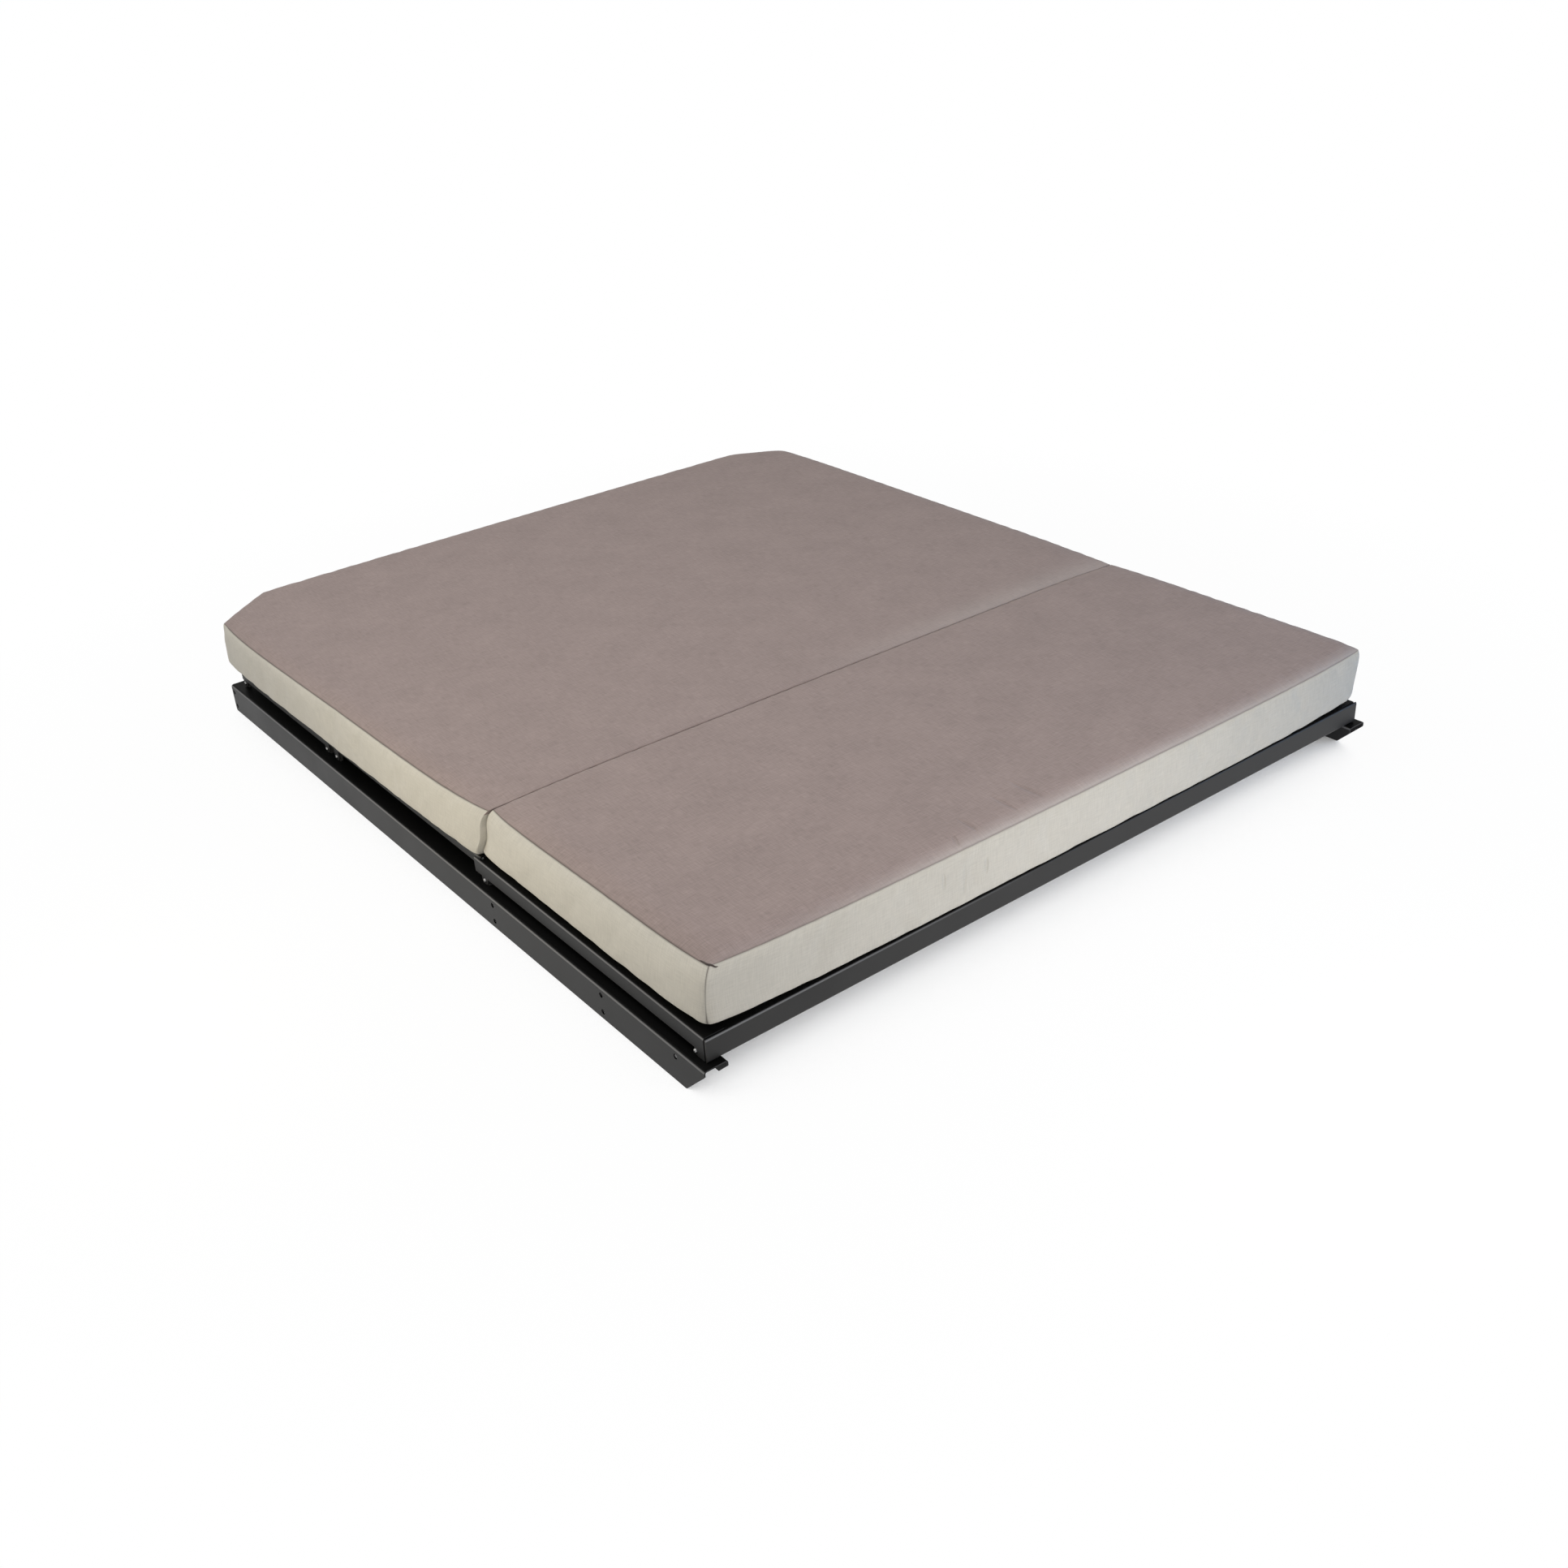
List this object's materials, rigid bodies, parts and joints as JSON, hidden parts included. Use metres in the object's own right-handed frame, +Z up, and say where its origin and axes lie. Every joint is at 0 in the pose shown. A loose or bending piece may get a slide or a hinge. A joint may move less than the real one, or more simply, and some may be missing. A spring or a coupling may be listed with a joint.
{
  "type": "sofa bed mechanism",
  "caption": "Low sofa bed on two bolted side rails: a fixed seat frame and a hinged back frame with slats, each under its own mattress.",
  "frame": {"origin": "on the floor, in the middle of the footprint", "axes": "+X to the right, +Y from the seat's front to the back, +Z up"},
  "size_m": [1.8, 2.145, 0.2373],
  "materials": {
    "black_powder_coat": "satin",
    "linen_cover": "woven",
    "nylon": "matte",
    "bright_steel": "brushed"
  },
  "bodies": {
    "base": {"left_rail": "black_powder_coat", "right_rail": "black_powder_coat", "seat_front_beam": "black_powder_coat", "seat_rear_beam": "black_powder_coat", "seat_left_side": "black_powder_coat", "seat_right_side": "black_powder_coat", "seat_slats": "black_powder_coat", "seat_glides": "nylon", "front_mattress": "linen_cover", "hinge_1_seat_leaf": "black_powder_coat", "hinge_2_seat_leaf": "black_powder_coat", "hinge_3_seat_leaf": "black_powder_coat", "hinge_1_pin": "bright_steel", "hinge_2_pin": "bright_steel", "hinge_3_pin": "bright_steel"},
    "back": {"back_front_beam": "black_powder_coat", "back_rear_beam": "black_powder_coat", "back_left_side": "black_powder_coat", "back_right_side": "black_powder_coat", "back_slats": "black_powder_coat", "head_front_beam": "black_powder_coat", "head_left_side": "black_powder_coat", "head_right_side": "black_powder_coat", "head_left_corner": "black_powder_coat", "head_right_corner": "black_powder_coat", "head_end_beam": "black_powder_coat", "head_slats": "black_powder_coat", "joint_plates": "black_powder_coat", "back_glides": "nylon", "rear_mattress": "linen_cover", "hinge_1_back_leaf": "black_powder_coat", "hinge_2_back_leaf": "black_powder_coat", "hinge_3_back_leaf": "black_powder_coat"}
  },
  "joints": [
    {"name": "back_tilt", "type": "hinge", "parent": "base", "child": "back", "pos_m": [0, -0.2975, 0.12], "axis": [1, 0, 0], "range_deg": [0, 65], "deforming": ["front_mattress"]}
  ]
}
